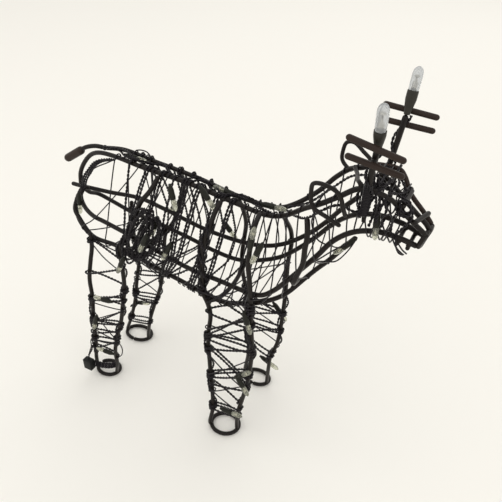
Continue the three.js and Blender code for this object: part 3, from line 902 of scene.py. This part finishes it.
class BuildWelds(bpy.types.Operator):
    """Beads of weld wherever two wires of the frame cross or meet"""
    bl_idname = "reindeer.welds"
    bl_label = "Weld beads"

    def execute(self, context):
        sizes = context.scene.reindeer_sizes
        everything = {**BODY_WIRES, **RUMP, **NECK, **BELLY_HOOPS, **COLLAR, **LEG_WIRES, **HEAD,
                      **MUZZLE_LEFT, **JAW_BARS, **EARS}
        for side in SIDES:
            everything["antler_shaft_" + side] = antler_shaft(side)
            everything.update(antler_tines(side))
        routes = [bend(points, 2.0) for points in everything.values()]
        places = []
        for i, first in enumerate(routes):
            for second in routes[i + 1:]:
                best = None
                for a in first:
                    for b in second:
                        gap = (a - b).length_squared
                        if gap < WELD_REACH ** 2 and (best is None or gap < best[0]):
                            best = (gap, (a + b) / 2)
                if best and all((best[1] - p).length > WELD_SPACING for p in places):
                    places.append(best[1])
        helper = new_object("weld_places", [in_place(p) for p in places])
        made = grown(helper, bead_tree(), {"Radius": sizes.weld_bead / 2, "Seed": 5,
                                           "Material": finish_named("painted_wire")}, "weld_beads")
        settle(made, "wire_dark")
        return {"FINISHED"}


# operators: the light string
# where the string crosses the wires of each leg, in order: rear or front wire, and the height
LEG_TURNS = {
    "hind_leg_wire_right": [
        ("r", 157), ("f", 141), ("r", 126), ("f", 118), ("r", 98), ("f", 97), ("r", 71), ("f", 72),
        ("r", 58), ("f", 60), ("r", 36), ("f", 31)],
    "front_leg_wire_right": [
        ("r", 147), ("f", 129), ("r", 129), ("f", 147), ("r", 106), ("f", 131), ("r", 104), ("f", 108),
        ("r", 92), ("f", 64), ("r", 54), ("f", 36)],
    "front_leg_wire_left": [
        ("r", 112), ("f", 97), ("r", 96), ("f", 98), ("r", 80), ("f", 79), ("r", 60), ("f", 46)],
    "hind_leg_wire_left": [
        ("r", 122), ("f", 110), ("r", 108), ("f", 96), ("r", 84), ("f", 94), ("r", 60), ("f", 58), ("r", 40)],
}
# short bundles across the two wires of a leg: how many runs of string, and where they cross
LEG_BUNDLES = {
    "hind_leg_wire_right": [
        (2, [("r", 100), ("f", 105)]), (2, [("r", 72), ("f", 77)]), (2, [("r", 50), ("f", 50)])],
    "front_leg_wire_right": [
        (2, [("r", 103), ("f", 102)]), (3, [("r", 61), ("f", 75)]), (3, [("r", 26), ("f", 22)]),
        (1, [("r", 90), ("f", 60)])],
    "front_leg_wire_left": [
        (2, [("r", 78), ("f", 77)]), (1, [("r", 66), ("f", 52)])],
    "hind_leg_wire_left": [(3, [("r", 58), ("f", 62)]), (3, [("r", 24), ("f", 30)])],
}
# single strands across the two wires of a leg
LEG_THIN = {
    "hind_leg_wire_right": [
        [("r", 100), ("f", 97)], [("r", 98), ("f", 60)], [("r", 76), ("f", 94)], [("r", 68), ("f", 58)],
        [("r", 52), ("f", 53), ("r", 46)]],
    "front_leg_wire_right": [
        [("r", 150), ("f", 149)], [("f", 143), ("r", 112), ("f", 104)], [("r", 93), ("f", 62)],
        [("r", 52), ("f", 34)], [("r", 46), ("f", 66)], [("f", 102), ("r", 64)]],
    "front_leg_wire_left": [
        [("r", 106), ("f", 88)], [("r", 92), ("f", 76)], [("r", 74), ("f", 60)]],
    "hind_leg_wire_left": [
        [("r", 112), ("f", 92)], [("r", 98), ("f", 84)], [("r", 78), ("f", 66)]],
}
# the string laid along the right hind hoof from the end block, and the loose ends round it
HOOF_RUN = [(-10, -31, 14.2), (-5, -29.5, 13.4), (1, -27.5, 13), (6, -25.5, 13), (10.5, -23, 14.5)]
HOOF_PITCH = Vector((0, 0.7, 1.1))
HOOF_THIN = [
    [(-13, -32, 20.5), (-12, -31, 27), (-10.5, -28, 35), (-10.5, -27, 41), (-7, -27.5, 45.5), (-4, -28, 39)],
    [(16, -25, 51), (21, -24, 48), (22.9, -24, 42), (21, -24, 35), (16, -23, 29), (12, -22, 24)],
    [(-5, -28, 44), (-4.5, -31, 34), (-4, -30, 28)],
]
# stations along x of one turn, as (back, right side, right belly, left belly, left side, left back), and how
# many runs of string lie side by side there
TRUNK_REAR = [
    ((47, 45, 40, 48, 50, 46), 1), ((60, 46, 36, 52, 56, 54), 2), ((72, 58, 48, 64, 68, 70), 2),
    ((83, 74, 64, 78, 80, 80), 1), ((90, 84, 78, 84, 88, 90), 3),
]
TRUNK_FRONT = [
    ((102, 90, 80, 96, 100, 104), 2), ((116, 106, 100, 106, 110, 116), 3),
    ((127, 118, 110, 120, 124, 128), 2),
]
# turns of a single strand
THIN_TURNS = [
    (34, 30, 26, 30, 34, 40), (54, 16, 2, 24, 34, 50), (78, 60, 66, 70, 74, 78), (100, 74, 66, 80, 86, 90),
    (138, 128, 118, 136, 136, 142), (149, 140, 138, 142, 146, 150), (160, 156, 150, 150, 152, 156),
    (172, 178, 172, 176, 176, 172), (182, 186, 184, 184, 184, 180), (194, 196, 196, 190, 190, 192),
    (203, 203, 206, 200, 200, 202),
]
# single strands down the right flank only, as (back, side, belly)
NEAR_THIN = [(46, 50, 44), (66, 78, 70), (95, 70, 60), (110, 96, 92), (122, 110, 96), (144, 134, 128),
             (147, 140, 132), (154, 148, 142), (160, 150, 146), (165, 168, 160)]
# bundles up from the rump bar to the back, and down from it
RUMP_BUNDLE = [(-8, -5, 187), (-4, -6, 193), (1, -6.5, 201), (8, -6.5, 209), (17, -6, 215.5),
               (29, -7, 219.5)]
RUMP_FALL = [(-10, -2, 184), (-14, -6, 178), (-13, -10, 173), (-11, -14, 169)]
# single strands about the rump, and across the chest
RUMP_THIN = [
    [(-9, -4, 187), (-2, -8, 196), (10, -8, 208), (24, -8, 216), (38, -7, 223), (52, -3, 224)],
    [(-9, -9, 181), (-13, -10, 172), (-9, -16, 167), (-3, -20, 164)],
    [(-9, -8, 183), (-8, -14, 172), (-2, -19, 165), (6, -23, 158)],
    [(-12, -5, 178), (-9, -16, 169), (4, -22.5, 160), (20, -25, 155), (36, -25, 152)],
    [(14, -29, 158), (26, -30, 147), (41, -30, 138)],
    [(44, -4, 224), (49, -2, 229), (54, 2, 227), (57, 3, 222)],
]
CHEST_THIN = [
    [(151, -33, 150), (140, -6, 141), (128, 14, 139), (118, 29, 142)],
    [(118, -31, 142), (132, -8, 138), (146, 16, 144), (156, 31, 152)],
    [(155, -33, 156), (162, -20, 152), (160, 2, 150), (158, 26, 156)],
    [(152, -33, 143), (136, -30, 150), (119, -31.5, 139)],
    [(156, 32, 146), (138, 31, 137), (117, 31, 126)],
]


def flank_tangle():
    """The heap of string on the right flank: uneven loops that lean forward and move along the trunk."""
    stations, turn, half_height, half_width = 88, 33, 26.0, 7.5
    route = []
    for i in range(stations):
        a, grow = math.radians(i * turn), 1.08 - 0.004 * i + 0.09 * math.sin(i * 0.83)
        lean = half_height * grow * math.cos(a)
        x = 60 + 0.17 * i + lean * 0.42 + half_width * grow * math.sin(a)
        route.append((x, -30.2 - 2.3 * math.sin(i * 1.3), 177 + lean * 0.92 - 2.2 * math.sin(a)))
    return route


class BuildLegString(bpy.types.Operator):
    """The string wound down each of the four legs"""
    bl_idname = "reindeer.leg_string"
    bl_label = "String on the legs"

    def execute(self, context):
        pitch = context.scene.reindeer_sizes.strand * 1.9 * MM
        thin = list(HOOF_THIN)
        for index, (leg, turns) in enumerate(LEG_TURNS.items()):
            node = "string_" + leg.replace("_wire", "")
            routes = [leg_winding(leg, turns)]
            for count, bundle in LEG_BUNDLES[leg]:
                routes += [leg_winding(leg, bundle, k % 2 == 0, pitch * k) for k in range(count)]
            routes.append(laid_along(leg, "front", 40, 140, index))
            routes.append(laid_along(leg, "rear", 30, 100, index + 2))
            if leg.endswith("right"):
                wire, low, high = ("rear", 146, 202) if leg.startswith("front") else ("front", 150, 200)
                routes += [laid_along(leg, wire, low, high, k * 2.1, 1.0) for k in range(3)]
            if leg == "hind_leg_wire_right":
                routes += [[Vector(p) + HOOF_PITCH * k for p in HOOF_RUN] for k in range(4)]
            twisted(node + "_strands", routes, [node], seed=3.0 + index, slack=0.00025)
            thin += [leg_winding(leg, turns, False) for turns in LEG_THIN[leg]]
        single("string_leg_thin", thin)
        return {"FINISHED"}


class BuildTrunkString(bpy.types.Operator):
    """The string wound round the trunk and along the back"""
    bl_idname = "reindeer.trunk_string"
    bl_label = "String on the trunk"

    def execute(self, context):
        pitch = context.scene.reindeer_sizes.strand * 2.1 * MM
        for name, turns, seed in (("rear", TRUNK_REAR, 8.0), ("front", TRUNK_FRONT, 8.6)):
            loops, near = [], []
            for turn, count in turns:
                loops += trunk_loop(*turn)
                for k in range(1, count):
                    near.append(flank_run(*(x + k * pitch for x in turn)))
            twisted("string_trunk_" + name + "_strands", [loops] + near, ["string_trunk_" + name], seed=seed,
                    slack=0.0005)
        thin = [trunk_loop(*turn) for turn in THIN_TURNS]
        thin += [flank_run(*turn, turn[2], turn[1], turn[0]) for turn in NEAR_THIN]
        single("string_trunk_thin", thin + RUMP_THIN + CHEST_THIN)
        ropes = side_by_side(RUMP_BUNDLE, 3, pitch * 0.9)
        ropes += side_by_side(RUMP_FALL, 2, pitch)
        twisted("string_flank_coil", [flank_tangle()] + ropes, seed=10.0, slack=0.0006)
        along = []
        for i, x in enumerate(range(16, 166, 10)):
            right = on_wire(BODY_WIRES["back_wire_right"], 0, x)
            left = on_wire(BODY_WIRES["back_wire_left"], 0, x)
            across = 0.5 + 0.42 * math.sin(i * 1.7)
            along.append(right.lerp(left, across) + Vector((0, 0, 1.6 * math.cos(i * 2.3) + 0.8)))
        second = [p + Vector((3, -1.5 * math.sin(p.x), 2.2 * math.cos(p.x * 0.7))) for p in along]
        twisted("string_back_strands", [along, second], ["string_back"], seed=9.0)
        return {"FINISHED"}


def down_the_shaft(side):
    """A lead that leaves the antler socket, winds round the shaft and ends at the crown."""
    shaft = bend(antler_shaft(side), 2.0)[::-1]
    sizes = bpy.context.scene.reindeer_sizes
    reach = radius_of(sizes.antler_wire) + sizes.strand * MM + EASE
    route = []
    for i, p in enumerate(shaft):
        a = i * 0.42
        route.append(p + Vector((reach * math.cos(a), reach * math.sin(a), 0)))
    return route


# runs of the string round the crown, the cheek and the muzzle and down the neck
HEAD_STRING = [
    [(222, -14, 236), (214, -16, 232), (206, -20, 236), (197, -24, 232), (188, -22, 224), (176, -12, 216),
     (166, -3, 213)],
    [(222, 14, 236), (216, 17, 240), (206, 19, 238), (196, 22, 232), (186, 20, 222), (176, 12, 214),
     (164, 2, 212)],
    [(222, -15, 240), (227, -17, 249), (230, -8, 250.5), (229, 4, 249), (229, 17, 250), (225, 16, 236),
     (226, 8, 217), (226, -5, 216), (226, -12.5, 219), (228, -17, 236), (232, -15.5, 247), (236, -4, 243),
     (238, 8, 241)],
    [(244, -9, 236), (240, -14, 238), (238, -12, 243), (242, -9, 241), (244, -12, 236), (240, -15, 236),
     (236, -12, 241), (241, -7, 242), (245, -10, 234), (241, -13, 226), (238, -10, 220)],
    [(218, -20, 240), (221, -15, 246), (225, -7, 249), (224, 2, 252.5), (219, 12, 248)],
    [(217, -19, 236), (214, -14, 243), (219, -8, 247), (227, -12, 243), (232, -15, 238)],
    [(216, -12, 226), (217, -15, 234), (221, -18, 243), (216, -10, 246), (211, -8, 248)],
    [(221.5, -14, 258), (223, -15, 250), (225, -14.5, 242), (224, -13, 233), (222, -12, 222)],
    [(223.5, -13, 257), (225.2, -14, 249), (227, -14, 241), (226, -13, 232), (226, -12, 222)],
    [(220, -12, 250), (227, -10, 250), (233, -8, 245), (238, -4, 241), (236, 6, 242), (229, 12, 248)],
    [(219, -14, 244), (226, -8, 246), (232, -2, 244), (231, 8, 246), (224, 14, 248), (217, 16, 248)],
    [(240, -10, 238), (236, -12, 234), (235, -12, 226), (236, -11, 219), (239, -9, 216)],
]
# single strands at the chin, the throat and the ear
HEAD_THIN = [
    [(237, -10, 218), (240, -9, 214), (243, -9, 210.5), (246, -9, 208.5)],
    [(236, -9, 217), (238.5, -10, 213), (241, -9, 209), (244.5, -9, 207.5)],
    [(214, -3, 206), (208, -7, 202), (201, -8, 196), (193, -7, 187), (187, -5, 180)],
    [(214, -3, 207), (211, -9, 200), (204, -10, 190), (196, -8, 186), (190, -5, 182)],
    [(197, -31, 235), (193, -28, 226), (196, -24, 212), (201, -20, 207)],
    [(209, -28, 246), (204, -26, 250), (198, -22, 244), (194, -24, 236)],
    [(238, -10, 219), (240, -13, 214), (244, -10, 208), (241, -8, 207), (238, -9, 213)],
]
# turns of one strand round the head: stations along x at the top, side and jaw, and the crown's height
HEAD_LOOPS = [(217, 216, 214, 251), (221, 220, 222, 253.4), (225, 227, 224, 251.5), (228, 226, 229, 250),
              (231, 236, 231, 247.5), (236, 230, 235, 243)]


def head_loop(top, side, low, crown):
    """One turn of a strand round the head, crown to jaw and back."""
    return [(top, 2, crown), (top, -12, crown - 1.5), (top, -17.2, crown - 4.5), (side, -15.6, 232),
            (low, -12.6, 217), (low, -7, 212.5), (low, 3, 212.5), (low, 11.5, 215), (side, 14.6, 232),
            (top, 18.2, crown - 4), (top + 1, 3, crown)]


class BuildHeadString(bpy.types.Operator):
    """Leads down the antler shafts, loops round the head and the runs along the neck"""
    bl_idname = "reindeer.head_string"
    bl_label = "String on the head and neck"

    def execute(self, context):
        reach = radius_of(context.scene.reindeer_sizes.antler_wire) + 0.4     # bedded into the shaft
        leads = [down_the_shaft(side) for side in SIDES]
        twisted("string_antler_leads", leads, seed=11.0, slack=0.0001)
        twisted("string_head_strands", HEAD_STRING, seed=12.0, slack=0.0005)
        thin = HEAD_THIN + [head_loop(*turn) for turn in HEAD_LOOPS]
        thin.append(wound(antler_shaft("right"), 232, 254, reach, 1.15))
        single("string_head_thin", thin)
        return {"FINISHED"}


class BuildSmallLamps(bpy.types.Operator):
    """Moulded sockets and clear bulbs along the string"""
    bl_idname = "reindeer.small_lamps"
    bl_label = "Small lamps"

    def execute(self, context):
        sizes = context.scene.reindeer_sizes
        r, b = radius_of(sizes.small_socket), radius_of(sizes.small_bulb)
        socket = turned("socket_form", [(0, 0), (r * 0.45, 0), (r * 0.6, 1.5), (r * 0.9, 3.2), (r, 4.6),
                                        (r, 8.2), (r * 1.06, 8.5), (r * 1.06, 9.7), (r, 10.0), (r, 11),
                                        (b * 0.9, 11.2), (b * 0.9, 10.2), (0, 10.2)], 14)
        bulb = turned("bulb_form", [(0, 10.4), (b * 0.84, 10.4), (b * 0.9, 12.0), (b, 13.0), (b, 16.6),
                                    (b * 0.85, 18.4), (b * 0.5, 19.6), (b * 0.2, 20.2), (0, 20.4)], 14)
        filament = turned("filament_form", [(0, 10.4), (0.4, 10.4), (0.3, 14.0), (0.8, 14.6), (0.8, 15.4),
                                            (0, 15.8)], 8)
        for form, finish, slot, name in ((socket, "lamp_socket", "socket_dark", "small_lamp_sockets"),
                                         (bulb, "small_bulb_glass", "bulb_glass", "small_lamp_bulbs"),
                                         (filament, "bright_lead", "bulb_glass", "small_lamp_filaments")):
            values = {"Part": form, "Material": finish_named(finish)}
            settle(grown(lamp_points(name + "_at"), lamp_tree(), values, name), slot)
            bpy.data.objects.remove(form)
        return {"FINISHED"}


class BuildAntlerLamps(bpy.types.Operator):
    """The two larger lamps at the antler tips"""
    bl_idname = "reindeer.antler_lamps"
    bl_label = "Antler lamps"

    def execute(self, context):
        parts = {"sockets": [], "bulbs": [], "filaments": []}
        for side, s in SIDES.items():
            base = Vector((ANTLER_BASE[0], s * ANTLER_BASE[1], ANTLER_BASE[2]))
            tip = Vector((ANTLER_TIP[0], s * ANTLER_TIP[1], ANTLER_TIP[2]))
            aim, where, rim = tip - base, in_place(base), SOCKET_RIM[side]
            parts["sockets"].append(turned("socket_" + side, [
                (0, -0.5), (1.7, -0.5), (1.9, 0.4), (2.25, 2.4), (2.65, 4.5), (3.1, 7.2), (3.28, 8.5),
                (3.28, rim - 0.4), (3.15, rim), (2.9, rim + 0.1), (2.9, rim - 0.6), (0, rim - 0.6)], 28,
                where, aim))
            parts["bulbs"].append(turned("bulb_" + side, [
                (0, rim - 0.3), (2.8, rim - 0.3), (2.9, rim + 0.6), (3.05, rim + 2.4), (3.12, rim + 4.5),
                (3.12, 21.6), (2.98, 23.2), (2.55, 24.6), (1.9, 25.6), (1.1, 26.2), (0.45, 26.5),
                (0, 26.55)], 28, where, aim))
            parts["filaments"].append(turned("filament_" + side, [
                (0, rim - 0.2), (1.3, rim - 0.2), (1.1, rim + 4.5), (0.5, rim + 5.2), (0.4, 20.2),
                (1.2, 20.8), (1.2, 21.6), (0, 22.0)], 12, where, aim))
        finishes = {"sockets": ("tip_socket", "socket_dark"), "bulbs": ("tip_bulb_glass", "bulb_glass"),
                    "filaments": ("bright_lead", "bulb_glass")}
        for part, objects in parts.items():
            finish, slot = finishes[part]
            made = merged("antler_lamp_" + part, objects)
            made.data.materials.append(finish_named(finish))
            nodes = {"sockets": ["antler_socket_right", "antler_socket_left"],
                     "bulbs": ["antler_bulb_right", "antler_bulb_left"]}.get(part, [])
            settle(made, slot, *nodes)
        return {"FINISHED"}


BLOCK_LEAD = [(-14, -31.5, 18), (-13, -31, 25), (-9, -30, 33), (-6, -31, 41)]


class BuildEndBlock(bpy.types.Operator):
    """The small block that ends the string, with its stub of lead"""
    bl_idname = "reindeer.end_block"
    bl_label = "End block"

    def execute(self, context):
        size = (block_high - block_low) * MM
        bpy.ops.mesh.primitive_cube_add(size=1.0)
        block = context.object
        block.name = "end_block"
        for v in block.data.vertices:
            v.co = in_place(BLOCK_MIDDLE + Vector(v.co[i] * size[i] for i in range(3)))
        rounding = block.modifiers.new("rounding", "BEVEL")
        rounding.width, rounding.segments = 0.0008, 4
        block.data.materials.append(finish_named("black_block"))
        block.data.polygons.foreach_set("use_smooth", [True] * len(block.data.polygons))
        settle(block, "socket_dark", "string_end_block")
        twisted("end_block_lead", [BLOCK_LEAD], seed=15.0)
        return {"FINISHED"}


# operator: the stage
CAMERA_FROM = (293.1, -290.8, 397.7)
CAMERA_TURN = 28.0
CAMERA_LIFT = 34.6
CAMERA_LENS = 40.73
SENSOR = 36.0
FLOOR_SIZE = 12.0
LIT_POINT = (0, 0, 0.12)
LIGHT_SIZE = 2.0
LIGHTS = (("key", (-0.7, -0.9, 1.5), 4.5), ("fill", (1.2, -0.6, 1.1), 2.5), ("back", (0.2, 1.3, 1.4), 3.5))
ROOM_COLOUR = (0.97, 0.955, 0.92, 1.0)
ROOM_STRENGTH = 0.93


class BuildStage(bpy.types.Operator):
    """Pale floor, soft lights and the camera"""
    bl_idname = "reindeer.stage"
    bl_label = "Stage"

    def execute(self, context):
        tones = context.scene.reindeer_colours
        bpy.ops.mesh.primitive_plane_add(size=FLOOR_SIZE)
        floor = context.object
        floor.name = "floor"
        floor.data.materials.append(shader("pale_floor", tuple(tones.floor), 0.9)[0])
        context.scene.view_settings.view_transform = "Standard"
        for name, where, power in LIGHTS:
            light = bpy.data.lights.new(name, "AREA")
            light.energy, light.size = power, LIGHT_SIZE
            lamp = bpy.data.objects.new(name, light)
            lamp.location = where
            lamp.rotation_euler = (Vector(LIT_POINT) - Vector(where)).to_track_quat("-Z", "Y").to_euler()
            context.collection.objects.link(lamp)
        world = bpy.data.worlds.new("pale_room")
        world.use_nodes = True
        world.node_tree.nodes["Background"].inputs["Color"].default_value = ROOM_COLOUR
        world.node_tree.nodes["Background"].inputs["Strength"].default_value = ROOM_STRENGTH
        context.scene.world = world
        lens = bpy.data.cameras.new("camera")
        lens.lens, lens.sensor_width = CAMERA_LENS, SENSOR
        lens.clip_start, lens.clip_end = 0.02, 30.0
        camera = bpy.data.objects.new("camera", lens)
        a, e = math.radians(CAMERA_TURN), math.radians(CAMERA_LIFT)
        back = Vector((math.sin(a) * math.cos(e), -math.cos(a) * math.cos(e), math.sin(e)))
        camera.location = in_place(CAMERA_FROM)
        camera.rotation_mode = "QUATERNION"
        camera.rotation_quaternion = (-back).to_track_quat("-Z", "Y")
        context.collection.objects.link(camera)
        context.scene.camera = camera
        return {"FINISHED"}


OPERATORS = (BuildLongWires, BuildRump, BuildLegs, BuildHoops, BuildHead, BuildAntlers, BuildWelds,
             BuildLegString, BuildTrunkString, BuildHeadString, BuildSmallLamps, BuildAntlerLamps,
             BuildEndBlock, BuildStage)


class ReindeerPanel(bpy.types.Panel):
    """Sizes, colours and the pieces, in order"""
    bl_idname = "VIEW3D_PT_reindeer"
    bl_label = "Wire reindeer"
    bl_space_type = "VIEW_3D"
    bl_region_type = "UI"
    bl_category = "Reindeer"

    def draw(self, context):
        for group in (context.scene.reindeer_sizes, context.scene.reindeer_colours):
            box = self.layout.box()
            for key in group.__annotations__:
                box.prop(group, key)
        for operator in OPERATORS:
            self.layout.operator(operator.bl_idname)


CLASSES = (ReindeerSizes, ReindeerColours, *OPERATORS, ReindeerPanel)


def register():
    for item in CLASSES:
        bpy.utils.register_class(item)
    bpy.types.Scene.reindeer_sizes = bpy.props.PointerProperty(type=ReindeerSizes)
    bpy.types.Scene.reindeer_colours = bpy.props.PointerProperty(type=ReindeerColours)


def unregister():
    del bpy.types.Scene.reindeer_colours
    del bpy.types.Scene.reindeer_sizes
    for item in reversed(CLASSES):
        bpy.utils.unregister_class(item)


def main():
    register()
    for item in OPERATORS:
        group, name = item.bl_idname.split(".")
        getattr(getattr(bpy.ops, group), name)()


if __name__ == "__main__":
    main()
